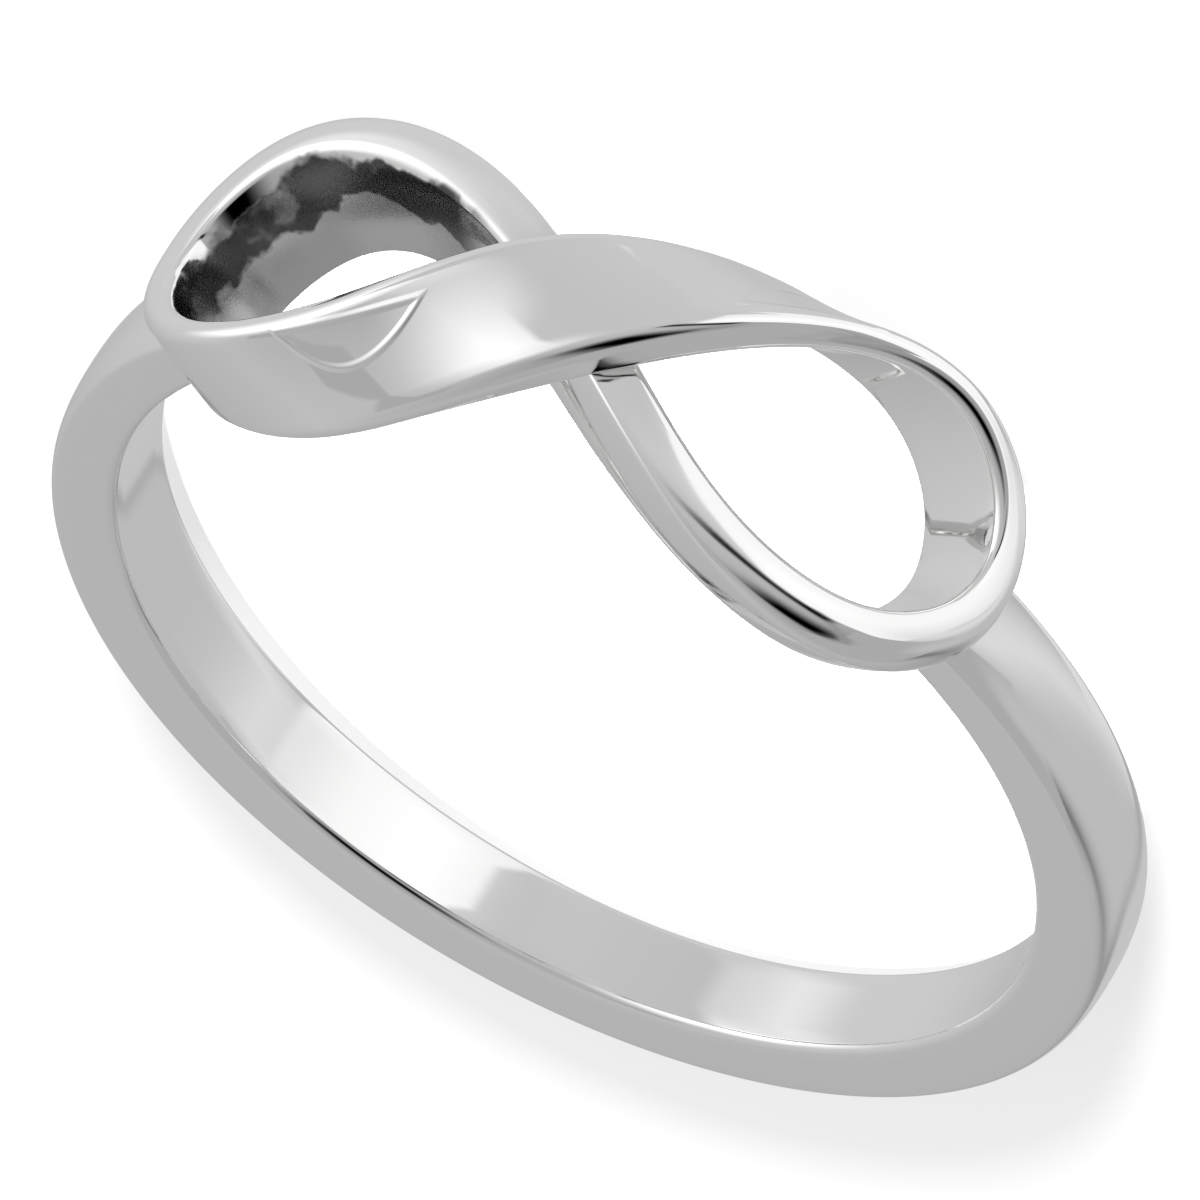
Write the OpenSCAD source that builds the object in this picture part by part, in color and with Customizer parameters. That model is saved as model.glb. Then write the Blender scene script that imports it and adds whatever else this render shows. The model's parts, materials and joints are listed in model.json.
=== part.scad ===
// Finger ring with an infinity head, cast in one piece.
// The finger hole's centre is the origin. The ring lies on its far side, on the two loops and the foot
// of the shank. Before it is laid down, the finger axis is Z and the head points along +Y.

/* [Finger] */
// Inside diameter of the ring
finger_d = 17.3; // [13:0.1:23]

/* [Shank] */
// Width of the shank across the finger
shank_w = 1.86; // [1.4:0.02:2.4]
// Thickness of the shank round its foot
shank_t = 1.42; // [1.0:0.02:1.8]
// Thickness of the shank where it meets the loops
shoulder_t = 1.06; // [0.8:0.02:1.8]
// Height of the shank's rounded outside
crown_h = 0.24; // [0.16:0.02:0.6]
// Rounding of the shank's inside edges, for comfort
comfort_r = 0.12; // [0.06:0.02:0.3]

/* [Infinity head] */
// Length of the head along the finger's curve, between the middles of its two end walls
head_l = 15.6; // [12:0.2:20]
// Overall width of the head across the finger
head_w = 5.9; // [4.6:0.1:7.5]
// Width of the ribbon, which is also the height of its walls over the finger
ribbon_w = 2.2; // [1.8:0.05:2.8]
// Thickness of the ribbon
ribbon_t = 0.86; // [0.6:0.02:1.2]
// Rounding of the ribbon's edges
edge_r = 0.22; // [0.1:0.02:0.28]

/* [Hidden] */

bore_r = finger_d / 2;
round_fn = 180;
// The head's feet stand this far outside the finger hole
foot_gap = 0.04;

// Ribbon, one row for each 30 degrees of its way round, from the middle of the upper strand to the
// middle of the lower one. The other half is the same, turned about the head's middle.
//   along: share of half the head's length      across: share of half the head's width
//   mid, half: the section's middle height and half width, shares of the ribbon's width
//   thick: half thickness, share of the ribbon's thickness      lean: tilt of the section, degrees
// along, across, mid, half, thick, lean
ROWS = [
    [0.000,  0.000, 1.200, 0.603, 0.49,   0],
    [0.386, -1.048, 0.645, 0.494, 0.38,   3],
    [0.784, -1.158, 0.575, 0.536, 0.22,  -8],
    [1.088, -0.106, 0.455, 0.475, 0.60,  16],
    [0.834,  1.135, 0.416, 0.534, 0.48, -24],
    [0.400,  0.965, 0.334, 0.414, 0.47, -14],
    [0.000,  0.000, 0.470, 0.630, 0.51,   0]
];
ROW_ANGLE = 30;
// Stretch of its way over which the upper strand turns by half a turn, from wall to strap to wall
TURN_ANGLE = 165;
RING_STEP = 3;
CORNER_STEPS = 3;

mid_r = bore_r + ribbon_w / 2;
reach = (head_l / 2) / mid_r * 180 / PI;
// Side walls' middles, from the ring's middle plane
side_z = head_w / 2 - 0.45 * ribbon_t - 0.15 * ribbon_w;

// All twelve rows round the ribbon: the second half is the first one, mirrored in place
function flip(r) = [-r[0], -r[1], r[2], r[3], r[4], -r[5]];
LOOP = [for (i = [0:11]) i <= 6 ? ROWS[i] : flip(ROWS[12 - i])];

// Smooth closed curve that the rows steer
function steer(x) =
    let (i = floor(x), t = x - i, u = 1 - t)
    (u * u * u * LOOP[(i + 11) % 12]
    + (3 * t * t * t - 6 * t * t + 4) * LOOP[i % 12]
    + (3 * u * u * u - 6 * u * u + 4) * LOOP[(i + 1) % 12]
    + t * t * t * LOOP[(i + 2) % 12]) / 6;
function station(a) = steer(((a + 360) % 360) / ROW_ANGLE);

function polar(r, phi, z) = [r * sin(phi), r * cos(phi), z];
function centre(a) =
    let (s = station(a))
    polar(bore_r + s[2] * ribbon_w, s[0] * reach, s[1] * side_z);

function unit(v) = v / norm(v);
function ease(x) = let (t = min(1, max(0, x))) t * t * t * (t * (6 * t - 15) + 10);

// Direction of the section's width at station a, between -180 and 180
function turn(a) = 90 - 180 * ease((a + TURN_ANGLE / 2) / TURN_ANGLE) + station(a)[5];

// Rounded rectangle with half sizes w and t
function outline(w, t) =
    let (r = min(edge_r, 0.95 * min(w, t)))
    [for (k = [0:3], j = [0:CORNER_STEPS])
        let (g = 90 * k + 90 * j / CORNER_STEPS,
             sx = (k == 0 || k == 3) ? 1 : -1,
             sy = k < 2 ? 1 : -1)
        [sx * (w - r) + r * cos(g), sy * (t - r) + r * sin(g)]];
N_OUT = 4 * (CORNER_STEPS + 1);

// A point under the feet's surface comes up to it
function clear_finger(p) =
    let (r = norm([p[0], p[1]]), k = max(r, bore_r + foot_gap) / r)
    [k * p[0], k * p[1], p[2]];

// Section of the ribbon at station a, as points in space
function section(a) =
    let (s = station(a),
         c = centre(a),
         way = unit(centre(a + 0.5) - centre(a - 0.5)),
         out0 = polar(1, s[0] * reach, 0),
         out = unit(out0 - (out0 * way) * way),
         side = cross(out, way),
         p = turn(a),
         wide = sin(p) * out + cos(p) * side,
         thin = cross(way, wide))
    [for (q = outline(s[3] * ribbon_w, s[4] * ribbon_t)) clear_finger(c + q[0] * wide + q[1] * thin)];

// Closed tube through rings of n points each
function tube_faces(n, m) = concat(
    [[for (j = [0:n - 1]) j]],
    [for (i = [0:m - 2], j = [0:n - 1])
        let (k = (j + 1) % n, a = i * n, b = a + n)
        each [[a + j, b + k, a + k], [a + j, b + j, b + k]]],
    [[for (j = [n - 1:-1:0]) (m - 1) * n + j]]);
module tube(rings) {
    n = len(rings[0]);
    polyhedron(points = [for (r = rings) each r], faces = tube_faces(n, len(rings)), convexity = 8);
}

// The same section, with its points counted from its other side
function recount(pts) = [for (i = [0:N_OUT - 1]) pts[(i + N_OUT / 2) % N_OUT]];

UPPER = [for (a = [-90:RING_STEP:90]) section(a)];
LOWER = [for (a = [90:RING_STEP:270]) a > 180 ? recount(section(a - 360)) : section(a)];

// Shank: flat inside, rounded outside. Its outside runs round the finger at one thickness, and above
// the belly angle on each side it turns about a nearer centre, so it thins smoothly to the loops. Its
// ends reach into the loops' end walls.
BELLY_ANGLE = 105;
tuck = 0.42 * ribbon_t;
shank_end = reach - tuck / mid_r * 180 / PI;
outer_r = bore_r + shank_t;
shift = (shank_t - shoulder_t) / (1 - cos(BELLY_ANGLE - reach));
CROWN_STEPS = 8;
CROWN_POWER = 0.84;
CROWN = [for (i = [0:CROWN_STEPS]) let (g = 90 * i / CROWN_STEPS)
    [crown_h * (pow(sin(g), CROWN_POWER) - 1), shank_w / 2 * pow(cos(g), CROWN_POWER)]];
SHANK_PTS = [for (phi = [90:6:270], q = CROWN) polar(outer_r + q[0], phi, -q[1])];

// The plane that the ring rests on touches both loops and the shank
HEAD_PTS = [for (r = concat(UPPER, LOWER)) each r];
LEFT_PTS = [for (p = HEAD_PTS) if (p[0] < 0) p];
RIGHT_PTS = [for (p = HEAD_PTS) if (p[0] >= 0) p];
function lowest(pts, d) =
    let (h = [for (p = pts) p * d], m = max(h))
    pts[[for (i = [0:len(h) - 1]) if (h[i] == m) i][0]];
function settle(d, n) = n == 0 ? d :
    let (a = lowest(LEFT_PTS, d),
         b = lowest(RIGHT_PTS, d),
         c = lowest(SHANK_PTS, d),
         v = unit(cross(b - a, c - a)))
    settle(v[2] > 0 ? -v : v, n - 1);
DOWN = settle([0, 0, -1], 4);
rest_axis = cross(DOWN, [0, 0, -1]);
rest_angle = acos(-DOWN[2]);

module lay_down() rotate(a = rest_angle, v = rest_axis) children();

module head() resize([0, 0, head_w]) union() {
    tube(UPPER);
    tube(LOWER);
}

// Ring-shaped cutter that rounds the shank's inside edge on its +Z side
module comfort_edge() rotate_extrude($fn = round_fn)
    translate([bore_r, shank_w / 2 - comfort_r]) difference() {
        translate([-comfort_r, 0]) square([2 * comfort_r, 2 * comfort_r]);
        translate([comfort_r, 0]) circle(r = comfort_r, $fn = 48);
        translate([comfort_r, -comfort_r]) square([2 * comfort_r, 4 * comfort_r]);
    }

// Stretch of the shank whose outside has radius r, between two angles from the head
module band(r, from, to) rotate_extrude(angle = to - from, start = 90 - to, $fn = round_fn)
    polygon(concat([[bore_r / 2, -shank_w / 2]], [for (q = CROWN) [r + q[0], -q[1]]],
        [for (i = [CROWN_STEPS - 1:-1:0]) [r + CROWN[i][0], CROWN[i][1]]], [[bore_r / 2, shank_w / 2]]));

module shoulder() translate(polar(shift, BELLY_ANGLE, 0)) band(outer_r - shift, reach / 2, BELLY_ANGLE);

module shank() difference() {
    union() {
        band(outer_r, BELLY_ANGLE, 360 - BELLY_ANGLE);
        shoulder();
        mirror([1, 0, 0]) shoulder();
    }
    cylinder(h = 2 * shank_w, r = bore_r, center = true, $fn = round_fn);
    comfort_edge();
    mirror([0, 0, 1]) comfort_edge();
    linear_extrude(height = 2 * shank_w, center = true)
        polygon([[0, 0], 2 * outer_r * [-sin(shank_end), cos(shank_end)],
            [0, 3 * outer_r], 2 * outer_r * [sin(shank_end), cos(shank_end)]]);
}

module ring() color("silver") lay_down() {
    head();
    shank();
}

ring();
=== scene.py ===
"""Looks of a cast silver finger ring with an infinity head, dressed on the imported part.

The ring is first shaped upright in its own frame, in millimetres: the finger axis is Z, the head
points along +Y, and the finger hole's centre is the origin. It is then laid on its side, as the
part rests, and scaled to metres.
"""
import json
import logging
import math
from dataclasses import astuple, dataclass, field, fields
from enum import Enum
from functools import reduce

import bpy
import numpy as np
from mathutils import Matrix, Quaternion, Vector


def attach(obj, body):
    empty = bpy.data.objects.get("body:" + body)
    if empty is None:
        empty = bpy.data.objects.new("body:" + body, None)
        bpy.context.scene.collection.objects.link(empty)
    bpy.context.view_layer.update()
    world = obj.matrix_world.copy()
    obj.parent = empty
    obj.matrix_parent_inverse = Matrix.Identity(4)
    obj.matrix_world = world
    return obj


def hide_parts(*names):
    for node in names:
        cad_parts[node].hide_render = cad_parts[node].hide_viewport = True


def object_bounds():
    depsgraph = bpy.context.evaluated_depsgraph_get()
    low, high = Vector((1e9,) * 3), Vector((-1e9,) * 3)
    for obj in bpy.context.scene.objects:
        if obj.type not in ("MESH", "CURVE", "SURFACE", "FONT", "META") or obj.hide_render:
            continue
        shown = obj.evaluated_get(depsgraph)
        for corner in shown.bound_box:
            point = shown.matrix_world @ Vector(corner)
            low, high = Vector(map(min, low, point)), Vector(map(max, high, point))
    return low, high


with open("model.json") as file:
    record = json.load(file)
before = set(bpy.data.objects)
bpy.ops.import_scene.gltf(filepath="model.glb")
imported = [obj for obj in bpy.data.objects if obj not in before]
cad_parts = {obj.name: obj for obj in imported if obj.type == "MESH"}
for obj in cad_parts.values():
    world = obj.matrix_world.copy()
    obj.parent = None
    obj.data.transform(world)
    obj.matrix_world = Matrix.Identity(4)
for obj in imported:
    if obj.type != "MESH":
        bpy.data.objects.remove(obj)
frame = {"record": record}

CAD_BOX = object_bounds()
MM = 0.001
FLOOR_Z = CAD_BOX[0][2]
BORE = next(m for m in frame["record"]["mounts"] if m["name"] == "finger_bore")
BORE_R = BORE["dims"]["r_mm"]
FINGER_AXIS = Vector(BORE["axis"])
LAY_DOWN = Vector((0.0, 0.0, 1.0)).rotation_difference(FINGER_AXIS).to_matrix().to_4x4()
WHITE = (1.0, 1.0, 1.0, 1.0)

Columns = dict[str, np.ndarray]
Numbers = tuple[float, ...]
Step = tuple[float, float]
Colour = tuple[float, float, float, float]

log = logging.getLogger("infinity_ring")


class TreeType(Enum):
    """The sorts of node tree, by Blender's names."""

    GEOMETRY = "GeometryNodeTree"
    SHADER = "ShaderNodeTree"


class Kind(Enum):
    """What a socket carries, by the word that Blender's socket types end in."""

    NUMBER = "Float"
    VECTOR = "Vector"
    OBJECT = "Object"
    MATERIAL = "Material"
    GEOMETRY = "Geometry"


@dataclass(frozen=True)
class RibbonTable:
    """What steers the ribbon, from the upper strand's middle to the lower one's, by equal steps.

    along is a share of half the head's length, across of the side walls' distance from the middle
    plane, mid and half of the ribbon's width, thick of its thickness. lean is the section's tilt in
    degrees, and taper thins the section toward its top. The next four are the roundings of its
    edges in millimetres: at the top and at the foot, outside the loop and inside it. slope and
    bulge tip and swell the top edge, outer_crown and inner_crown swell the two broad faces.
    """

    along: Numbers = (0.0, 0.386, 0.784, 1.088, 0.834, 0.400, 0.0)
    across: Numbers = (0.0, -1.048, -1.158, -0.106, 1.135, 0.965, 0.0)
    mid: Numbers = (1.199, 0.645, 0.575, 0.455, 0.416, 0.334, 0.472)
    half: Numbers = (0.603, 0.494, 0.536, 0.460, 0.534, 0.414, 0.576)
    thick: Numbers = (0.486, 0.396, 0.212, 0.615, 0.480, 0.481, 0.535)
    lean: Numbers = (0.0, 3.1, -8.1, 16.3, -23.8, -14.2, 0.0)
    taper: Numbers = (0.37, 0.29, -0.10, 0.39, -0.34, 0.06, 0.09)
    top_outer: Numbers = (0.15, 0.32, 0.22, 0.35, 0.30, 0.06, 0.06)
    top_inner: Numbers = (0.22, 0.15, 0.31, 0.07, 0.11, 0.17, 0.12)
    foot_outer: Numbers = (0.25, 0.39, 0.13, 0.07, 0.17, 0.07, 0.07)
    foot_inner: Numbers = (0.21, 0.23, 0.12, 0.08, 0.03, 0.18, 0.15)
    slope: Numbers = (-0.22, -0.01, 0.04, 0.01, 0.02, 0.22, -0.03)
    bulge: Numbers = (0.07, -0.09, 0.01, -0.01, 0.20, 0.03, -0.07)
    outer_crown: Numbers = (0.20, 0.03, 0.08, 0.08, 0.10, 0.04, 0.39)
    inner_crown: Numbers = (0.06, 0.11, 0.11, 0.12, 0.28, 0.20, 0.20)

    def rows(self) -> np.ndarray:
        """The table for the whole way round.

        Returns:
            A row for each step, the second half being the first turned about the head's middle.
        """
        half = np.array(astuple(self)).T
        turned = [-1 if f.name in ("along", "across", "lean") else 1 for f in fields(self)]
        return np.vstack([half, half[-2:0:-1] * turned])


@dataclass(frozen=True)
class Section:
    """Outline of a swept piece, as shares that the sweep turns into a rounded section.

    The steps are those of the outer and inner corners, and of the wide and narrow flats between
    them. An outer_power under 1 makes the outer corners fuller.
    """

    outer_steps: int
    inner_steps: int
    wide_steps: int
    side_steps: int
    outer_power: float = 1.0

    def points(self) -> tuple[np.ndarray, np.ndarray]:
        """Shares of each outline point, counter-clockwise from the right-hand side.

        Returns:
            The corner shares (side, outer flag) and the arc shares (across, through).
        """
        corners: list[tuple[float, float, float]] = []
        arcs: list[tuple[float, float, float]] = []
        for sign, outer, start in ((1, 1, 0), (-1, 1, 90), (-1, 0, 180), (1, 0, 270)):
            steps = self.outer_steps if outer else self.inner_steps
            power = self.outer_power if outer else 1.0
            for k in range(steps + 1):
                angle = math.radians(start + 90 * k / steps)
                cos, sin = math.cos(angle), math.sin(angle)
                corners.append((sign, outer, 0))
                arcs.append((math.copysign(abs(cos) ** power, cos),
                             math.copysign(abs(sin) ** power, sin), 0))
            wide = start in (0, 180)
            flat = self.wide_steps if wide else self.side_steps
            for k in range(1, flat):
                share = k / flat
                corners.append((sign * (1 - 2 * share), outer, 0) if wide
                               else (sign, outer + (1 - 2 * outer) * share, 0))
                arcs.append(arcs[-1])
        return np.array(corners), np.array(arcs)


def link_object(name: str, data: bpy.types.ID) -> bpy.types.Object:
    """Makes an object and links it to the scene.

    Args:
        name: the object's name.
        data: its mesh, lamp or camera.

    Returns:
        The object.
    """
    obj = bpy.data.objects.new(name, data)
    bpy.context.scene.collection.objects.link(obj)
    return obj


def mesh_object(name: str, verts: np.ndarray, edges: list, faces: list = ()) -> bpy.types.Object:
    """Makes a mesh object.

    Args:
        name: the object's name.
        verts: its points, one row each.
        edges: its edges, or an empty list.
        faces: its faces, or an empty list.

    Returns:
        The object.
    """
    mesh = bpy.data.meshes.new(name)
    mesh.from_pydata([tuple(v) for v in verts], edges, list(faces))
    return link_object(name, mesh)


def store_vectors(obj: bpy.types.Object, name: str, values: np.ndarray) -> None:
    """Stores a vector for each point of a mesh.

    Args:
        obj: the mesh object.
        name: the attribute's name.
        values: one row of three for each point.
    """
    data = obj.data.attributes.new(name, "FLOAT_VECTOR", "POINT").data
    data.foreach_set("vector", values.astype(np.float32).ravel())


class NodeMaker:
    """Short hand for filling a node tree. Each method adds a node and gives its result."""

    def __init__(self, tree: bpy.types.NodeTree) -> None:
        """Keeps the tree to fill."""
        self.tree = tree

    def feed(self, target: bpy.types.NodeSocket, source: object) -> None:
        """Links a socket to an input, or sets the input's own value.

        Args:
            target: the input socket.
            source: a socket, a number, a tuple, a name or a flag.
        """
        if isinstance(source, bpy.types.NodeSocket):
            self.tree.links.new(source, target)
        else:
            target.default_value = source

    def feed_all(self, node: bpy.types.Node, inputs: dict[int | str, object]) -> None:
        """Feeds several of a node's inputs, each by its name or number."""
        for key, source in inputs.items():
            self.feed(node.inputs[key], source)

    def add(self, kind: str, inputs: dict[int | str, object] | None = None,
            **settings: object) -> bpy.types.Node:
        """Adds a node of any type.

        Args:
            kind: the node's type name.
            inputs: input name or number to a socket or value.
            settings: properties to set on it first.

        Returns:
            The node.
        """
        node = self.tree.nodes.new(kind)
        for key, value in settings.items():
            setattr(node, key, value)
        self.feed_all(node, inputs or {})
        return node

    def math(self, operation: str, *values: object) -> bpy.types.NodeSocket:
        """Any sum with one to three numbers."""
        return self.add("ShaderNodeMath", dict(enumerate(values)), operation=operation).outputs[0]

    def plus(self, a: object, b: object) -> bpy.types.NodeSocket:
        """One number added to another."""
        return self.math("ADD", a, b)

    def minus(self, a: object, b: object) -> bpy.types.NodeSocket:
        """One number less another."""
        return self.math("SUBTRACT", a, b)

    def times(self, *values: object) -> bpy.types.NodeSocket:
        """Two or more numbers multiplied in turn."""
        return reduce(lambda a, b: self.math("MULTIPLY", a, b), values)

    def over(self, a: object, b: object) -> bpy.types.NodeSocket:
        """One number divided by another."""
        return self.math("DIVIDE", a, b)

    def squared(self, a: object) -> bpy.types.NodeSocket:
        """A number times itself."""
        return self.math("POWER", a, 2.0)

    def line(self, value: object, slope: float, rise: float) -> bpy.types.NodeSocket:
        """A number times a slope, plus a rise."""
        return self.math("MULTIPLY_ADD", value, slope, rise)

    def ease(self, value: object, step: Step = (0.0, 1.0)) -> bpy.types.NodeSocket:
        """Smooth step from 0 to 1, from where it starts to where it is full."""
        inputs = {"Value": value, "From Min": step[0], "From Max": step[1]}
        return self.add("ShaderNodeMapRange", inputs,
                        interpolation_type="SMOOTHSTEP").outputs["Result"]

    def vector_math(self, operation: str, a: object, b: object) -> bpy.types.NodeSocket:
        """Two vectors, or a vector and its scale where the operation is SCALE."""
        second = "Scale" if operation == "SCALE" else 1
        return self.add("ShaderNodeVectorMath", {0: a, second: b}, operation=operation).outputs[0]

    def dot(self, a: object, b: object) -> bpy.types.NodeSocket:
        """Dot product of two vectors."""
        return self.add("ShaderNodeVectorMath", {0: a, 1: b},
                        operation="DOT_PRODUCT").outputs["Value"]

    def mix(self, share: object, a: object, b: object) -> bpy.types.NodeSocket:
        """Two numbers mixed by the second one's share."""
        return self.add("ShaderNodeMix", {0: share, 2: a, 3: b}, data_type="FLOAT").outputs[0]

    def blend(self, share: object, a: object, b: object) -> bpy.types.NodeSocket:
        """Two colours mixed by the second one's share."""
        return self.add("ShaderNodeMix", {0: share, 6: a, 7: b}, data_type="RGBA").outputs[2]

    def split(self, vector: object) -> tuple[bpy.types.NodeSocket, ...]:
        """A vector's three parts."""
        return tuple(self.add("ShaderNodeSeparateXYZ", {0: vector}).outputs)

    def join(self, x: object, y: object, z: object) -> bpy.types.NodeSocket:
        """A vector of three numbers."""
        return self.add("ShaderNodeCombineXYZ", {0: x, 1: y, 2: z}).outputs[0]

    def noise(self, place: object, scale: float, detail: float) -> bpy.types.NodeSocket:
        """A noise texture near 0.5, by its grains per metre and its octaves."""
        return self.add("ShaderNodeTexNoise",
                        {"Vector": place, "Scale": scale, "Detail": detail}).outputs[0]

    def group(self, tree: bpy.types.NodeTree, inputs: dict[str, object]) -> bpy.types.NodeOutputs:
        """A shader node group's outputs."""
        return self.add("ShaderNodeGroup", inputs, node_tree=tree).outputs

    def attribute(self, name: str) -> bpy.types.NodeSocket:
        """A mesh's own vector attribute, in a geometry tree."""
        return self.add("GeometryNodeInputNamedAttribute", {"Name": name},
                        data_type="FLOAT_VECTOR").outputs["Attribute"]

    def parts(self, name: str) -> tuple[bpy.types.NodeSocket, ...]:
        """The three parts of a mesh's own vector attribute."""
        return self.split(self.attribute(name))

    def unless_mirrored(self, seen: object, mirrored: object) -> bpy.types.NodeSocket:
        """One shader where it is seen or lights a surface, and another in mirror reflections."""
        glossy = self.add("ShaderNodeLightPath").outputs["Is Glossy Ray"]
        return self.add("ShaderNodeMixShader", {0: glossy, 1: seen, 2: mirrored}).outputs[0]

    def hand_over(self, mesh: object, metal: object, result: bpy.types.NodeInputs) -> None:
        """Ends a geometry tree in Realize Instances and Set Material.

        Args:
            mesh: the geometry made so far.
            metal: its material.
            result: the tree's outputs, of which the geometry is the first.
        """
        real = self.add("GeometryNodeRealizeInstances", {0: mesh}).outputs[0]
        dressed = self.add("GeometryNodeSetMaterial", {"Geometry": real, "Material": metal})
        self.feed(result[0], dressed.outputs[0])


def start_tree(name: str, tree_type: TreeType, inputs: dict[str, Kind],
               outputs: dict[str, Kind]) -> tuple[
        NodeMaker, bpy.types.NodeOutputs, bpy.types.NodeInputs]:
    """Starts a node tree with named inputs and outputs.

    Args:
        name: the tree's name.
        tree_type: its sort.
        inputs: input name to what it carries.
        outputs: output name to what it carries.

    Returns:
        The maker, the given sockets and the results' sockets.
    """
    tree = bpy.data.node_groups.new(name, tree_type.value)
    for side, sockets in (("INPUT", inputs), ("OUTPUT", outputs)):
        for label, kind in sockets.items():
            tree.interface.new_socket(label, in_out=side, socket_type="NodeSocket" + kind.value)
    maker = NodeMaker(tree)
    return maker, maker.add("NodeGroupInput").outputs, maker.add("NodeGroupOutput").inputs


def run_tree(obj: bpy.types.Object, tree: bpy.types.NodeTree, values: dict[str, object],
             name: str) -> bpy.types.Object:
    """Runs a Geometry Nodes tree on an object and keeps the result as a plain mesh.

    Args:
        obj: the object that carries the modifier. It is removed.
        tree: the tree.
        values: input name to value.
        name: the new object's name.

    Returns:
        The new object.
    """
    modifier = obj.modifiers.new(tree.name, "NODES")
    modifier.node_group = tree
    ids = {s.name: s.identifier for s in tree.interface.items_tree if s.in_out == "INPUT"}
    for label, value in values.items():
        modifier[ids[label]] = value
    graph = bpy.context.evaluated_depsgraph_get()
    mesh = bpy.data.meshes.new_from_object(obj.evaluated_get(graph))
    obj.modifiers.remove(modifier)
    bpy.data.objects.remove(obj)
    mesh.name = name
    return link_object(name, mesh)


def sweep_tree(tip_fade: float = 3.0) -> bpy.types.NodeTree:
    """Sweeps a rounded section along a rail whose points carry its directions and sizes.

    Args:
        tip_fade: how fast the shape of a tip fades toward the section's other end.

    Returns:
        The tree, with a rail as its geometry and a section outline as its Outline object.
    """
    maker, given, result = start_tree(
        "section_sweep", TreeType.GEOMETRY,
        {"Geometry": Kind.GEOMETRY, "Outline": Kind.OBJECT, "Finger Radius": Kind.NUMBER,
         "Metal": Kind.MATERIAL}, {"Geometry": Kind.GEOMETRY})
    outline = maker.add("GeometryNodeObjectInfo", {"Object": given["Outline"]})
    rail = maker.add("GeometryNodeMeshToCurve", {"Mesh": given["Geometry"]})
    rim = maker.add("GeometryNodeMeshToCurve", {"Mesh": outline.outputs["Geometry"]})
    tube = maker.add("GeometryNodeCurveToMesh", {
        "Curve": rail.outputs[0], "Profile Curve": rim.outputs[0], "Fill Caps": True})

    # Where a point lies on the section: u along its width, v through its thickness
    side, outer, _ = maker.parts("corner")
    arc_u, arc_v, _ = maker.parts("arc")
    half_u, half_v, taper = maker.parts("half")
    high = maker.line(side, 0.5, 0.5)
    edges = {}
    for face in ("outer", "inner"):
        ends = zip(maker.parts(f"low_{face}")[:2], maker.parts(f"high_{face}")[:2])
        edges[face] = [maker.mix(high, a, b) for a, b in ends]
    edge_u, edge_v = (maker.mix(outer, a, b) for a, b in zip(edges["inner"], edges["outer"]))
    flat_u = maker.times(side, maker.minus(half_u, edge_u))
    flat_v = maker.mix(outer, maker.minus(edges["inner"][1], half_v),
                       maker.minus(half_v, edges["outer"][1]))
    u = maker.plus(flat_u, maker.times(arc_u, edge_u))
    v = maker.plus(flat_v, maker.times(arc_v, edge_v))
    share_u = maker.over(u, half_u)
    share_v = maker.over(v, half_v)

    # Swollen faces, and tips that slope and bulge
    outer_crown, inner_crown, _ = maker.parts("crown")
    crown = maker.mix(maker.math("GREATER_THAN", share_v, 0.0), inner_crown, outer_crown)
    crown = maker.times(crown, maker.math("ABSOLUTE", share_v),
                        maker.minus(1.0, maker.squared(share_u)))
    swell = maker.plus(maker.minus(1.0, maker.times(taper, share_u)), crown)
    arch = maker.minus(1.0, maker.squared(share_v))
    for label, sign in (("high_tip", 1.0), ("low_tip", -1.0)):
        slope, bulge, _ = maker.parts(label)
        near = maker.math("MAXIMUM", maker.line(share_u, 0.5 * sign, 0.5), 0.0)
        tip = maker.plus(maker.times(slope, v), maker.times(bulge, arch))
        u = maker.plus(u, maker.times(maker.math("POWER", near, tip_fade), tip, sign))
    way, top_sign, inner_sign = maker.parts("place")
    strand = maker.join(way, maker.times(u, top_sign), maker.times(share_v, inner_sign))
    v = maker.times(v, swell)
    shift = maker.vector_math("ADD", maker.vector_math("SCALE", maker.attribute("wide"), u),
                              maker.vector_math("SCALE", maker.attribute("thin"), v))
    place = maker.vector_math("ADD", maker.attribute("middle"), shift)

    # Points inside the finger's radius come out to it
    x, y, z = maker.split(place)
    radius = maker.math("SQRT", maker.plus(maker.squared(x), maker.squared(y)))
    push = maker.over(maker.math("MAXIMUM", radius, given["Finger Radius"]), radius)
    clear = maker.join(maker.times(x, push), maker.times(y, push), z)
    marked = maker.add("GeometryNodeStoreNamedAttribute", {
        "Geometry": tube.outputs[0], "Name": "strand", "Value": strand},
        data_type="FLOAT_VECTOR", domain="POINT")
    placed = maker.add("GeometryNodeSetPosition", {
        "Geometry": marked.outputs[0], "Position": clear})
    maker.hand_over(placed.outputs[0], given["Metal"], result)
    return maker.tree


def fuse_tree() -> bpy.types.NodeTree:
    """Joins three closed solids into one casting.

    Returns:
        The tree, with one solid as its geometry and the other two as objects.
    """
    maker, given, result = start_tree(
        "fused_casting", TreeType.GEOMETRY,
        {"Geometry": Kind.GEOMETRY, "Second": Kind.OBJECT, "Third": Kind.OBJECT,
         "Metal": Kind.MATERIAL}, {"Geometry": Kind.GEOMETRY})
    union = maker.add("GeometryNodeMeshBoolean", {"Mesh 2": given["Geometry"]},
                      operation="UNION", solver="MANIFOLD")
    for label in ("Second", "Third"):
        other = maker.add("GeometryNodeObjectInfo", {"Object": given[label]})
        maker.feed(union.inputs["Mesh 2"], other.outputs["Geometry"])
    maker.hand_over(union.outputs[0], given["Metal"], result)
    return maker.tree


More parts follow.
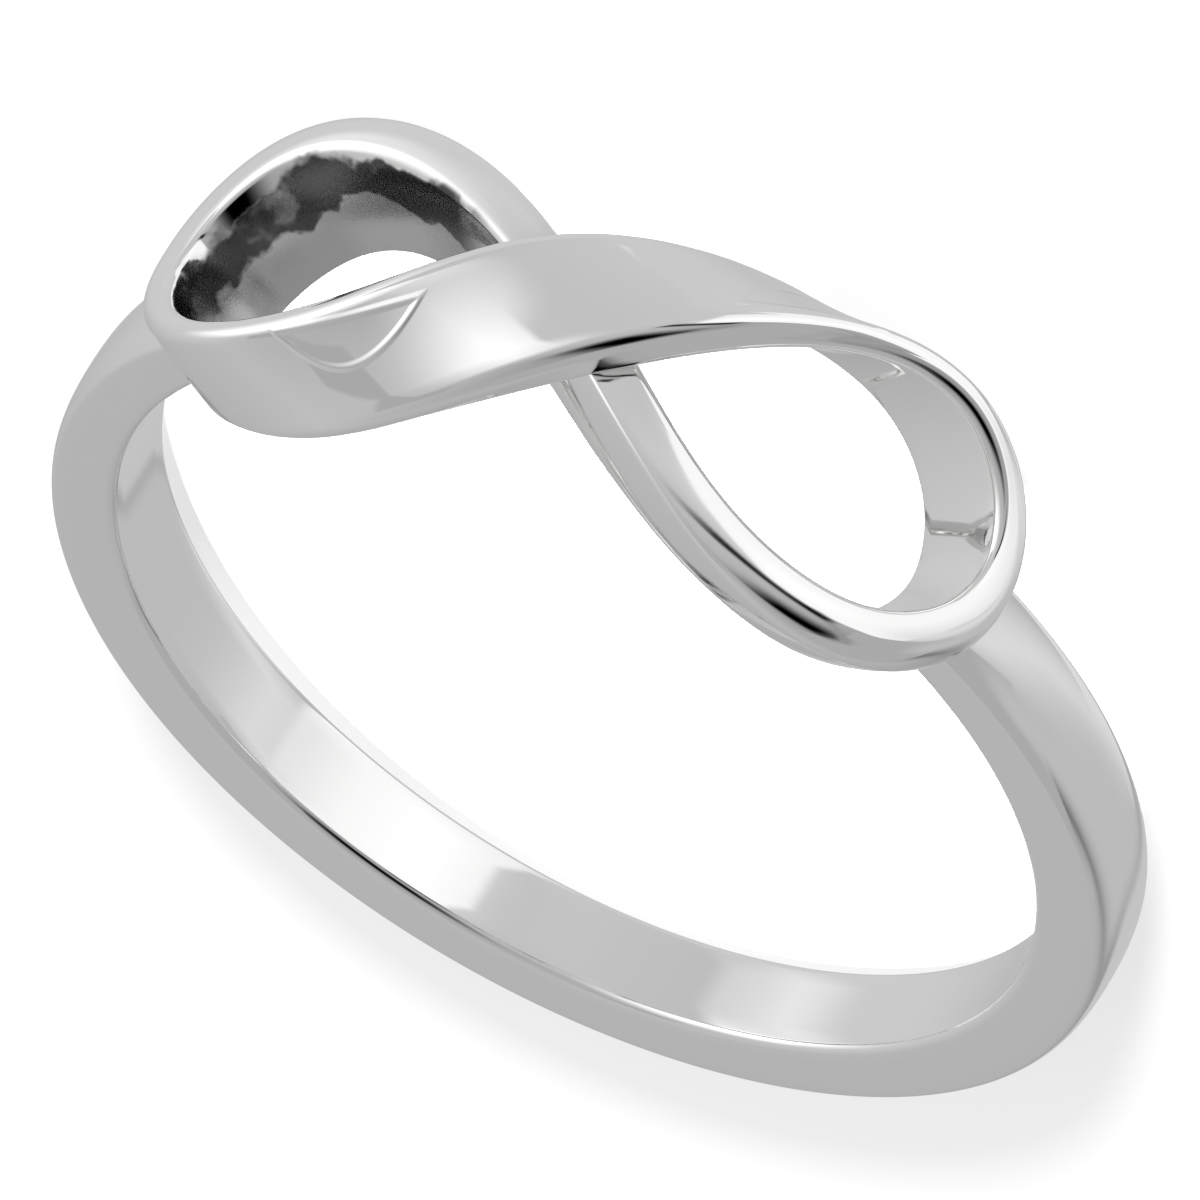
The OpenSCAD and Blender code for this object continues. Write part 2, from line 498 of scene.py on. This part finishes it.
@dataclass
class Rail:
    """Line that a section is swept along, with a vector of each sort at each of its points.

    middle, wide and thin place and turn the section. half holds its half sizes and its taper. The
    next four hold the radii of its edges, the tips their slope and bulge, and crown the swelling of
    its outer and inner faces. place holds the way round and the signs of the top and the inside.
    """

    middle: np.ndarray
    wide: np.ndarray
    thin: np.ndarray
    half: np.ndarray
    high_outer: np.ndarray
    low_outer: np.ndarray
    low_inner: np.ndarray
    high_inner: np.ndarray
    high_tip: np.ndarray
    low_tip: np.ndarray
    crown: np.ndarray
    place: np.ndarray

    def part(self, start: int, stop: int) -> "Rail":
        """The stretch of the rail between two of its points, both included."""
        cut = slice(start, stop + 1)
        return Rail(**{f.name: getattr(self, f.name)[cut] for f in fields(self)})

    def sweep(self, tree: bpy.types.NodeTree, section: Section, finger_r: float,
              metal: bpy.types.Material, name: str) -> bpy.types.Object:
        """Sweeps a section along the rail into a closed solid.

        Args:
            tree: the sweep's Geometry Nodes tree.
            section: the section's outline.
            finger_r: the least distance from the finger axis.
            metal: the solid's material.
            name: the solid's name.

        Returns:
            The solid's object, upright and in millimetres.
        """
        corner, arc = section.points()
        count = len(corner)
        outline = mesh_object(name + "_outline", arc, [(i, (i + 1) % count) for i in range(count)])
        store_vectors(outline, "corner", corner)
        store_vectors(outline, "arc", arc)
        links = [(i, i + 1) for i in range(len(self.middle) - 1)]
        rail = mesh_object(name + "_rail", self.middle, links)
        for f in fields(self):
            store_vectors(rail, f.name, getattr(self, f.name))
        values = {"Outline": outline, "Finger Radius": finger_r, "Metal": metal}
        made = run_tree(rail, tree, values, name)
        bpy.data.objects.remove(outline)
        return made


def rows_of(x: np.ndarray, y: np.ndarray, z: np.ndarray) -> np.ndarray:
    """Rows of three from three columns, any of which may be one number."""
    return np.stack(np.broadcast_arrays(x, y, z), axis=1)


def unit(rows: np.ndarray) -> np.ndarray:
    """Each row as a vector of length one."""
    return rows / np.linalg.norm(rows, axis=1)[:, None]


def eased_step(share: np.ndarray) -> np.ndarray:
    """Smooth step from 0 to 1 over shares from 0 to 1."""
    share = np.clip(share, 0, 1)
    return share ** 3 * (share * (6 * share - 15) + 10)


def polar(radius: np.ndarray, degrees: np.ndarray, height: np.ndarray) -> np.ndarray:
    """Points by their distance from the finger axis, angle from the head and height along it."""
    angle = np.radians(degrees)
    return rows_of(radius * np.sin(angle), radius * np.cos(angle), height)


@dataclass
class InfinityHead:
    """The figure-eight ribbon over the finger, as two strands that meet at the loops' ends.

    Lengths are in millimetres, and side is the side walls' distance from the ring's middle plane.
    The ribbon's way round is counted in degrees. Over turn_stretch the upper strand turns from wall
    to strap to wall, and over swap the section's ends or faces change places. look is how far each
    way the ribbon's direction is read.
    """

    length: float = 15.6
    side: float = 2.25
    width: float = 2.2
    thickness: float = 0.86
    foot_gap: float = 0.04
    least_edge: float = 0.03
    edge_share: float = 0.95
    swap: float = 40.0
    turn_stretch: float = 165.0
    step: float = 1.0
    look: float = 0.5
    section: Section = Section(outer_steps=6, inner_steps=6, wide_steps=10, side_steps=4)
    table: RibbonTable = RibbonTable()

    @property
    def reach(self) -> float:
        """Angle from the head's middle to the middle of an end wall, in degrees."""
        return math.degrees(self.length / 2 / (BORE_R + self.width / 2))

    def steer(self, degrees: np.ndarray) -> Columns:
        """Smooth closed curve that the table's rows steer.

        Args:
            degrees: places on the ribbon's way round, 0 in the middle of the upper strand.

        Returns:
            The table's columns, with a number for each place.
        """
        rows = self.table.rows()
        count = len(rows)
        x = (degrees % 360) / (360 // count)
        i = np.floor(x).astype(int)
        t = (x - i)[:, None]
        u = 1 - t
        smooth = (u ** 3 * rows[(i - 1) % count]
                  + (3 * t ** 3 - 6 * t ** 2 + 4) * rows[i % count]
                  + (3 * u ** 3 - 6 * u ** 2 + 4) * rows[(i + 1) % count]
                  + t ** 3 * rows[(i + 2) % count]) / 6
        return {f.name: column for f, column in zip(fields(self.table), smooth.T)}

    def centre(self, degrees: np.ndarray) -> np.ndarray:
        """Middle of the ribbon's section at each place on its way round."""
        row = self.steer(degrees)
        return polar(BORE_R + row["mid"] * self.width, row["along"] * self.reach,
                     row["across"] * self.side)

    def edges(self, row: Columns, top_low: np.ndarray, inside_high: np.ndarray) -> Columns:
        """Radii of the section's four edges.

        Args:
            row: the table's columns along the rail.
            top_low: 1 where the section's low end is the ribbon's top, 0 where its high end is.
            inside_high: 1 where the section's outer face is inside the loop, 0 where it isn't.

        Returns:
            The rail's columns of edges.
        """
        most = self.edge_share * np.minimum(row["half"] * self.width,
                                            row["thick"] * self.thickness)
        radii = {}
        for end, top in (("low", top_low), ("high", 1 - top_low)):
            outward = top * row["top_outer"] + (1 - top) * row["foot_outer"]
            inward = top * row["top_inner"] + (1 - top) * row["foot_inner"]
            for face, share in (("outer", inside_high), ("inner", 1 - inside_high)):
                radius = np.clip(outward + (inward - outward) * share, self.least_edge, most)
                radii[f"{end}_{face}"] = rows_of(radius, radius, 0.0)
        return radii

    def rail(self) -> Rail:
        """The ribbon's whole way round, from the left end of the upper strand back to it.

        Returns:
            The rail.
        """
        place = np.arange(-90, 270 + self.step / 2, self.step)
        row = self.steer(place)
        way = unit(self.centre(place + self.look) - self.centre(place - self.look))
        radial = polar(1.0, row["along"] * self.reach, 0.0)
        out = unit(radial - (radial * way).sum(axis=1)[:, None] * way)
        side = np.cross(out, way)
        eased = eased_step(place / self.turn_stretch + 0.5)
        turn = np.radians(90 - 180 * eased + row["lean"])
        wide = np.sin(turn)[:, None] * out + np.cos(turn)[:, None] * side
        top_low = eased_step(place / self.swap + 0.5)
        inside_high = eased_step((place - 180) / self.swap + 0.5)
        tips = [rows_of(end * row["slope"] * (1 - 2 * inside_high), end * row["bulge"], 0.0)
                for end in (1 - top_low, top_low)]
        crowns = [row["outer_crown"] + (row["inner_crown"] - row["outer_crown"]) * share
                  for share in (inside_high, 1 - inside_high)]
        return Rail(middle=self.centre(place), wide=wide, thin=np.cross(way, wide),
                    half=rows_of(row["half"] * self.width, row["thick"] * self.thickness,
                                 row["taper"] * np.sin(turn)),
                    high_tip=tips[0], low_tip=tips[1], crown=rows_of(*crowns, 0.0),
                    place=rows_of(np.abs((place + 180) % 360 - 180), 1 - 2 * top_low,
                                  2 * inside_high - 1),
                    **self.edges(row, top_low, inside_high))

    def build(self, tree: bpy.types.NodeTree, metal: bpy.types.Material) -> list[bpy.types.Object]:
        """Both strands as closed solids that share their end faces.

        Args:
            tree: the sweep's Geometry Nodes tree.
            metal: their material.

        Returns:
            The upper strand and the lower one.
        """
        rail = self.rail()
        half_way = round(180 / self.step)
        finger_r = BORE_R + self.foot_gap
        strands = (("upper_strand", 0), ("lower_strand", half_way))
        return [rail.part(start, start + half_way).sweep(tree, self.section, finger_r, metal, name)
                for name, start in strands]


@dataclass
class Shank:
    """The plain finger band, flat inside and softly rounded outside.

    comfort is the rounding of its inside edges and crown the height of its rounded outside, in
    millimetres. tuck is how far its ends reach into the loops, in degrees. Its thickness and width
    follow smooth curves near those given at each angle from the head.
    """

    comfort: float = 0.16
    crown: float = 0.24
    tuck: float = 2.1
    step: float = 0.75
    fit_degree: int = 3
    angle: Numbers = (42, 60, 75, 90, 120, 150, 180)
    thickness: Numbers = (1.04, 1.16, 1.28, 1.36, 1.39, 1.43, 1.435)
    width: Numbers = (1.93, 1.92, 1.90, 1.88, 1.83, 1.76, 1.72)
    section: Section = Section(outer_steps=12, inner_steps=4, wide_steps=6, side_steps=4,
                               outer_power=0.84)

    def smooth(self, column: Numbers, fold: np.ndarray) -> np.ndarray:
        """Smooth curve near one of the columns, level at the foot.

        Args:
            column: the column.
            fold: angles from the head, up to 180 degrees.

        Returns:
            The column's number at each angle.
        """
        away = np.radians(180 - np.array(self.angle)) ** 2
        curve = np.polynomial.Polynomial.fit(away, column, self.fit_degree)
        return curve(np.radians(180 - fold) ** 2)

    def rail(self, reach: float) -> Rail:
        """The band's way round under the finger, from one loop's end wall to the other's.

        Args:
            reach: angle from the head's middle to an end wall's middle.

        Returns:
            The rail.
        """
        start = reach - self.tuck
        count = round((360 - 2 * start) / self.step)
        place = np.linspace(start, 360 - start, count + 1)
        fold = 180 - np.abs(180 - place)
        thickness = self.smooth(self.thickness, fold)
        half_u = self.smooth(self.width, fold) / 2
        flat = np.zeros((len(place), 3))
        comfort = flat + (self.comfort, self.comfort, 0.0)
        crowned = rows_of(half_u, self.crown, 0.0)
        # wide points down, as thin = way x wide has to hold for the faces to point outwards
        return Rail(middle=polar(BORE_R + thickness / 2, place, 0.0), wide=flat - (0.0, 0.0, 1.0),
                    thin=polar(1.0, place, 0.0), half=rows_of(half_u, thickness / 2, 0.0),
                    low_inner=comfort, high_inner=comfort, low_outer=crowned, high_outer=crowned,
                    high_tip=flat, low_tip=flat, crown=flat, place=flat)

    def build(self, tree: bpy.types.NodeTree, metal: bpy.types.Material,
              reach: float) -> bpy.types.Object:
        """The band as one closed solid.

        Args:
            tree: the sweep's Geometry Nodes tree.
            metal: its material.
            reach: angle from the head's middle to an end wall's middle.

        Returns:
            The band.
        """
        return self.rail(reach).sweep(tree, self.section, 0.0, metal, "shank")


@dataclass
class InfinityRing:
    """The whole casting: shank and head fused into one body."""

    head: InfinityHead = field(default_factory=InfinityHead)
    shank: Shank = field(default_factory=Shank)
    crease_angle: float = 38.0

    def build(self, metal: bpy.types.Material) -> bpy.types.Object:
        """Builds the ring where the part rests.

        Args:
            metal: its material.

        Returns:
            The finished piece.
        """
        tree = sweep_tree()
        upper, lower = self.head.build(tree, metal)
        band = self.shank.build(tree, metal, self.head.reach)
        values = {"Second": lower, "Third": band, "Metal": metal}
        casting = run_tree(upper, fuse_tree(), values, "silver_ring")
        for spent in (lower, band):
            bpy.data.objects.remove(spent)
        mesh = casting.data
        # Only the strand attribute is left, which the finish reads
        for name in [a.name for a in mesh.attributes if a.domain == "POINT" and not a.is_required]:
            if name != "strand" and not name.startswith("."):
                mesh.attributes.remove(mesh.attributes[name])
        mesh.transform(Matrix.Scale(MM, 4) @ LAY_DOWN)
        mesh.shade_smooth()
        mesh.set_sharp_from_angle(angle=math.radians(self.crease_angle))
        log.info("ring casting: %d faces", len(mesh.polygons))
        return casting


@dataclass(frozen=True)
class HandPolish:
    """What the polishing wheel leaves: a slow waviness, fine lines and uneven gloss.

    Scales are grains per metre, heights are in millimetres, and a step is where it starts and
    where it is full.
    """

    wave_scale: float = 900.0
    wave_height: float = 0.0022
    line_scale: float = 26000.0
    line_height: float = 0.00003
    line_stretch: tuple[float, float, float] = (0.15, 1.0, 1.0)
    blotch_scale: float = 1700.0
    blotch_detail: float = 3.0
    blotch_step: Step = (0.30, 0.70)

    def group(self) -> bpy.types.NodeTree:
        """The polish as a shader group.

        Returns:
            The group's tree.
        """
        maker, given, result = start_tree(
            "hand_polish", TreeType.SHADER, {"Place": Kind.VECTOR},
            {"Height": Kind.NUMBER, "Gloss Loss": Kind.NUMBER})
        place = given["Place"]
        stretched = maker.vector_math("MULTIPLY", place, self.line_stretch)
        wave = maker.noise(place, self.wave_scale, 1.0)
        lines = maker.noise(stretched, self.line_scale, 1.0)
        blotch = maker.noise(place, self.blotch_scale, self.blotch_detail)
        maker.feed(result["Height"], maker.plus(maker.times(wave, self.wave_height),
                                                maker.times(lines, self.line_height)))
        maker.feed(result["Gloss Loss"], maker.ease(blotch, self.blotch_step))
        return maker.tree


@dataclass(frozen=True)
class LoopWallPaintedReflection:
    """Painted dark reflection on the inner wall of the left loop: its ragged outline, its lighter
    painted patches and its grain.

    Scales are grains per metre. Each step is where it starts and where it is full: side in metres
    along the picture's left, along in degrees of the ribbon's way round, rim and lower in
    millimetres up the ribbon from its middle, and wall toward the loop's inside.
    """

    ragged_scale: float = 1100.0
    ragged_reach: float = 1.4
    patch_scale: float = 1300.0
    detail: float = 3.0
    grain_scale: float = 16000.0
    grain_detail: float = 2.0
    grain_height: float = 0.002
    side_step: Step = (-0.002, -0.003)
    wall_step: Step = (0.76, 0.96)
    along_step: Step = (70.0, 86.667)
    rim_step: Step = (0.9, 0.7333)
    lower_step: Step = (0.0556, -0.0556)
    mottle_step: Step = (0.5333, 0.7)
    mottle_light: float = 0.55

    def group(self) -> bpy.types.NodeTree:
        """The painted reflection as a shader group.

        Returns:
            The group's tree.
        """
        maker, given, result = start_tree(
            "cast_skin", TreeType.SHADER, {"Place": Kind.VECTOR, "Strand": Kind.VECTOR},
            {"Mask": Kind.NUMBER, "Tone": Kind.NUMBER, "Height": Kind.NUMBER})
        place = given["Place"]
        way, top, inner = maker.split(given["Strand"])
        ragged = maker.noise(place, self.ragged_scale, self.detail)
        patches = maker.noise(place, self.patch_scale, self.detail)
        grain = maker.noise(place, self.grain_scale, self.grain_detail)
        left_side = maker.ease(maker.split(place)[0], self.side_step)
        wall = maker.ease(inner, self.wall_step)
        along = maker.ease(way, self.along_step)
        edge = maker.times(maker.minus(ragged, 0.5), self.ragged_reach)
        under_rim = maker.ease(maker.minus(top, edge), self.rim_step)
        mask = maker.times(maker.times(wall, along), maker.times(left_side, under_rim))
        # Painted reflection: the wall's tone is dark above a ragged line, and lighter below it and
        # in painted patches
        lower = maker.ease(maker.plus(top, edge), self.lower_step)
        painted_light_patch = maker.times(maker.ease(patches, self.mottle_step), self.mottle_light)
        maker.feed(result["Mask"], mask)
        maker.feed(result["Tone"], maker.math("MAXIMUM", lower, painted_light_patch))
        maker.feed(result["Height"], maker.times(mask, maker.times(grain, self.grain_height)))
        return maker.tree


@dataclass(frozen=True)
class LeafMark:
    """Faint leaf-shaped ridge that the polishing wheel left on the strap's shoulder.

    The leaf lies between a bent lower side, which touches the ribbon's middle height at middle, and
    a straight upper one. It is drawn over the ribbon's way round in degrees and its height in
    millimetres. rim is the half width of its line, and face_step keeps it on the outer face.
    """

    middle: float = 28.5
    near_bend: float = 0.0055
    far_bend: float = 0.0085
    top: float = 0.80
    top_slope: float = 0.0125
    corner_blend: float = 0.12
    rim: float = 0.10
    height: float = 0.014
    face_step: Step = (-0.5, -0.7)

    def group(self) -> bpy.types.NodeTree:
        """The ridge as a shader group.

        Returns:
            The group's tree.
        """
        maker, given, result = start_tree(
            "leaf_mark", TreeType.SHADER, {"Strand": Kind.VECTOR}, {"Ridge": Kind.NUMBER})
        way, top, inner = maker.split(given["Strand"])
        away = maker.minus(way, self.middle)
        far = maker.math("GREATER_THAN", away, 0.0)
        bend = maker.mix(far, self.near_bend, self.far_bend)
        low = maker.minus(top, maker.times(bend, maker.squared(away)))
        high = maker.minus(maker.line(away, self.top_slope, self.top), top)
        room = maker.math("SMOOTH_MIN", low, high, self.corner_blend)
        off = maker.ease(maker.math("ABSOLUTE", room), (0.0, self.rim))
        maker.feed(result["Ridge"], maker.times(maker.minus(1.0, off),
                                                maker.ease(inner, self.face_step)))
        return maker.tree


@dataclass(frozen=True)
class PolishedSilver:
    """Hand-polished sterling silver, with a dark reflection and lighter patches painted on one
    loop's rougher inner wall.
    """

    colour: Colour = (0.93, 0.93, 0.925, 1.0)
    dark_skin: Colour = (0.10, 0.10, 0.103, 1.0)
    light_skin: Colour = (0.60, 0.60, 0.605, 1.0)
    roughness: float = 0.04
    dull_roughness: float = 0.075
    skin_roughness: float = 0.22
    polish: HandPolish = HandPolish()
    skin: LoopWallPaintedReflection = LoopWallPaintedReflection()
    leaf: LeafMark = LeafMark()

    def build(self) -> bpy.types.Material:
        """The finish as a material.

        Returns:
            The material.
        """
        material = bpy.data.materials.new("polished_silver")
        material.use_nodes = True
        maker = NodeMaker(material.node_tree)
        place = maker.add("ShaderNodeTexCoord").outputs["Object"]
        strand = maker.add("ShaderNodeAttribute", attribute_type="GEOMETRY",
                           attribute_name="strand").outputs["Vector"]
        polish = maker.group(self.polish.group(), {"Place": place})
        skin = maker.group(self.skin.group(), {"Place": place, "Strand": strand})
        leaf = maker.group(self.leaf.group(), {"Strand": strand})

        # Painted reflection: dark and lighter greys laid on the left loop's inner wall, which is
        # also rougher
        painted_reflection_colour = maker.blend(skin["Tone"], self.dark_skin, self.light_skin)
        clean = maker.mix(polish["Gloss Loss"], self.roughness, self.dull_roughness)
        height = maker.plus(maker.plus(polish["Height"], skin["Height"]),
                            maker.times(leaf["Ridge"], self.leaf.height))
        bump = maker.add("ShaderNodeBump", {"Strength": 1.0, "Distance": MM, "Height": height})
        maker.feed_all(material.node_tree.nodes["Principled BSDF"], {
            "Base Color": maker.blend(skin["Mask"], self.colour, painted_reflection_colour),
            "Roughness": maker.mix(skin["Mask"], clean, self.skin_roughness),
            "Metallic": 1.0, "Normal": bump.outputs[0]})
        return material


def toward(azimuth: float, elevation: float) -> Vector:
    """Direction to a point of the sky, in degrees from -Y toward +X and up."""
    turn, rise = math.radians(azimuth), math.radians(elevation)
    return Vector((math.sin(turn) * math.cos(rise), -math.cos(turn) * math.cos(rise),
                   math.sin(rise)))


def facing_from(back: Vector) -> Quaternion:
    """Turn of a camera or lamp that looks from a direction toward the ring."""
    return (-back).to_track_quat("-Z", "Y")


@dataclass
class PhotoCamera:
    """Long lens from the photograph's side of the ring, placed while the ring stands upright."""

    azimuth: float = 161.759
    elevation: float = 28.896
    roll: float = -148.448
    distance: float = 321.66
    aim: tuple[float, float, float] = (-0.379, 0.667, -0.932)
    lens: float = 576.6
    clip: tuple[float, float] = (0.01, 10.0)

    def build(self) -> None:
        """Makes the scene's camera."""
        data = bpy.data.cameras.new("camera")
        data.lens = self.lens
        data.clip_start, data.clip_end = self.clip
        camera = link_object("camera", data)
        bpy.context.scene.camera = camera
        back = toward(self.azimuth, self.elevation)
        roll = Matrix.Rotation(math.radians(self.roll), 4, "Z").to_quaternion()
        camera.rotation_mode = "QUATERNION"
        camera.rotation_quaternion = LAY_DOWN.to_quaternion() @ (facing_from(back) @ roll)
        camera.location = LAY_DOWN @ (Vector(self.aim) + back * self.distance) * MM


@dataclass(frozen=True)
class LightCard:
    """Soft-edged rectangle of light, or of shade, far off on the studio tent.

    azimuth and elevation point to its middle, and roll turns it, in degrees. width and height are
    half sizes and softness the blur of its edges, as shares of its distance. level is its
    brightness.
    """

    azimuth: float
    elevation: float
    roll: float
    width: float
    height: float
    softness: float
    level: float

    def axes(self) -> tuple[Vector, Vector, Vector]:
        """Where it is and how it is turned.

        Returns:
            Its direction from the ring, and the directions of its width and its height.
        """
        azimuth, roll = math.radians(self.azimuth), math.radians(self.roll)
        ahead = toward(self.azimuth, self.elevation)
        level = Vector((math.cos(azimuth), math.sin(azimuth), 0.0))
        rise = ahead.cross(level)
        across = math.cos(roll) * level + math.sin(roll) * rise
        return ahead, across, math.cos(roll) * rise - math.sin(roll) * level


def light_card_group(edge_on: float = 0.001) -> bpy.types.NodeTree:
    """Shader group that lays one light card over the tent's brightness so far.

    Args:
        edge_on: how far ahead a direction points at the least, to meet the card.

    Returns:
        The group's tree.
    """
    maker, given, result = start_tree(
        "light_card", TreeType.SHADER,
        {"Way": Kind.VECTOR, "Ahead": Kind.VECTOR, "Across": Kind.VECTOR, "Rise": Kind.VECTOR,
         "Half Width": Kind.NUMBER, "Half Height": Kind.NUMBER, "Softness": Kind.NUMBER,
         "Level": Kind.NUMBER, "Under": Kind.NUMBER}, {"Brightness": Kind.NUMBER})
    ahead = maker.dot(given["Way"], given["Ahead"])
    depth = maker.math("MAXIMUM", ahead, edge_on)
    mask = maker.math("GREATER_THAN", ahead, edge_on)
    for side, half in (("Across", "Half Width"), ("Rise", "Half Height")):
        away = maker.math("ABSOLUTE", maker.over(maker.dot(given["Way"], given[side]), depth))
        room = maker.over(maker.minus(given[half], away), given["Softness"])
        mask = maker.times(mask, maker.ease(room, (-0.5, 0.5)))
    maker.feed(result[0], maker.mix(mask, given["Under"], given["Level"]))
    return maker.tree


@dataclass
class Studio:
    """Pale floor inside a grey tent with soft light cards.

    The key light is given in degrees, and the fill light's height and reach in millimetres. The
    tent's brightness is tent_level, changed along X, Y and Z by tent_slope, under the cards.
    """

    floor_half: float = 1.5
    floor_colour: Colour = (0.32, 0.32, 0.32, 1.0)
    floor_glow: float = 0.54
    floor_roughness: float = 0.9
    key_azimuth: float = 177.0
    key_elevation: float = 21.0
    key_spread: float = 12.0
    key_strength: float = 7.0
    fill_height: float = 16.0
    fill_reach: float = 9.6
    fill_power: float = 0.06
    fill_blend: float = 0.1
    fill_size: float = 1.0
    tent_level: float = 0.438
    tent_slope: tuple[float, float, float] = (-0.176, 0.148, -0.149)
    # azimuth, elevation, roll, width, height, softness, level
    cards: tuple[LightCard, ...] = tuple(LightCard(*row) for row in (
        (142, -39, 12, 0.48, 0.74, 0.07, 1.01),
        (-127, 13, -34, 0.28, 0.39, 1.28, 2.54),
        (-116, -22, -29, 0.12, 0.19, 0.40, 1.05),
        (-154, -27, -19, 0.23, 0.67, 0.12, 0.65),
        (85, -36, 25, 0.82, 0.19, 0.56, 0.78),
        (-17, 48, 75, 0.07, 3.94, 6.43, 0.75),
        (85, 28, 39, 0.51, 1.11, 0.04, 0.43),
        (138, 41, -86, 0.33, 0.35, 0.42, 0.00),
        (127, 17, 43, 0.04, 0.50, 0.10, 0.31),
        (-106, 69, -49, 0.14, 0.16, 0.02, 0.42),
        (44, -56, -4, 0.21, 0.23, 0.02, 0.75),
        (153, 1, -11, 0.28, 0.07, 0.10, 0.00),
        (-12, -42, -53, 0.26, 0.42, 0.13, 0.57),
        (152, -21, 54, 0.18, 0.13, 0.52, 1.14),
        (-142, -18, -1, 0.15, 0.34, 3.85, 0.35),
        (65, -24, 24, 0.79, 0.24, 0.38, 0.53),
    ))

    def build(self) -> None:
        """Makes the floor, the tent and both lamps."""
        h = self.floor_half
        corners = [(x, y, FLOOR_Z) for x, y in ((-h, -h), (h, -h), (h, h), (-h, h))]
        floor = mesh_object("floor", np.array(corners), [], [(0, 1, 2, 3)])
        floor.data.materials.append(self.floor_paint())
        bpy.context.scene.world = self.tent()
        self.key_light()
        self.fill_light()
        bpy.context.scene.view_settings.view_transform = "Standard"

    def floor_paint(self) -> bpy.types.Material:
        """Pale matt paint. Mirrored in the ring, the floor gives way to the tent all round.

        Returns:
            The material.
        """
        paint = bpy.data.materials.new("floor_paint")
        paint.use_nodes = True
        nodes = paint.node_tree.nodes
        maker = NodeMaker(paint.node_tree)
        matt = nodes["Principled BSDF"]
        maker.feed_all(matt, {
            "Base Color": self.floor_colour, "Roughness": self.floor_roughness,
            "Specular IOR Level": 0.0, "Emission Color": WHITE,
            "Emission Strength": self.floor_glow})
        clear = maker.add("ShaderNodeBsdfTransparent").outputs[0]
        maker.feed(nodes["Material Output"].inputs[0],
                   maker.unless_mirrored(matt.outputs[0], clear))
        return paint

    def tent(self) -> bpy.types.World:
        """White room whose mirror image is the tent and its cards.

        Returns:
            The world that lights the scene.
        """
        world = bpy.data.worlds.new("studio_tent")
        world.use_nodes = True
        nodes = world.node_tree.nodes
        maker = NodeMaker(world.node_tree)
        way = maker.add("ShaderNodeTexCoord").outputs["Generated"]
        level = maker.plus(maker.dot(way, self.tent_slope), self.tent_level)
        group = light_card_group()
        for card in self.cards:
            ahead, across, rise = card.axes()
            level = maker.group(group, {
                "Way": way, "Ahead": ahead, "Across": across, "Rise": rise,
                "Half Width": card.width, "Half Height": card.height,
                "Softness": card.softness, "Level": card.level, "Under": level})[0]
        mirrored = maker.add("ShaderNodeBackground", {"Color": level}).outputs[0]
        room = nodes["Background"]
        maker.feed(room.inputs["Color"], WHITE)
        maker.feed(nodes["World Output"].inputs[0],
                   maker.unless_mirrored(room.outputs[0], mirrored))
        world.cycles.sampling_method = "NONE"
        return world

    def key_light(self) -> None:
        """Large soft light from the head's side, which only draws the shadow on the floor."""
        lamp = bpy.data.lights.new("key_light", "SUN")
        lamp.energy = self.key_strength
        lamp.angle = math.radians(self.key_spread)
        key = link_object("key_light", lamp)
        key.rotation_mode = "QUATERNION"
        key.rotation_quaternion = facing_from(toward(self.key_azimuth, self.key_elevation))
        key.visible_glossy = False

    def fill_light(self) -> None:
        """Narrow lamp over the finger hole, which lifts the head's shadow from the floor in it."""
        lamp = bpy.data.lights.new("fill_light", "SPOT")
        lamp.energy = self.fill_power
        lamp.spot_size = 2 * math.atan(self.fill_reach / self.fill_height)
        lamp.spot_blend = self.fill_blend
        lamp.shadow_soft_size = self.fill_size * MM
        fill = link_object("fill_light", lamp)
        fill.location = Vector((0.0, 0.0, FLOOR_Z + self.fill_height * MM))
        fill.visible_glossy = False
        fill.visible_camera = False


def main() -> None:
    """Builds the ring, the camera and the studio, and reports each piece."""
    logging.basicConfig(level=logging.INFO, format="%(name)s: %(message)s")
    metal = PolishedSilver().build()
    ring = InfinityRing().build(metal)
    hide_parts("ring")
    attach(ring, "root")
    PhotoCamera().build()
    Studio().build()


if __name__ == "__main__":
    main()
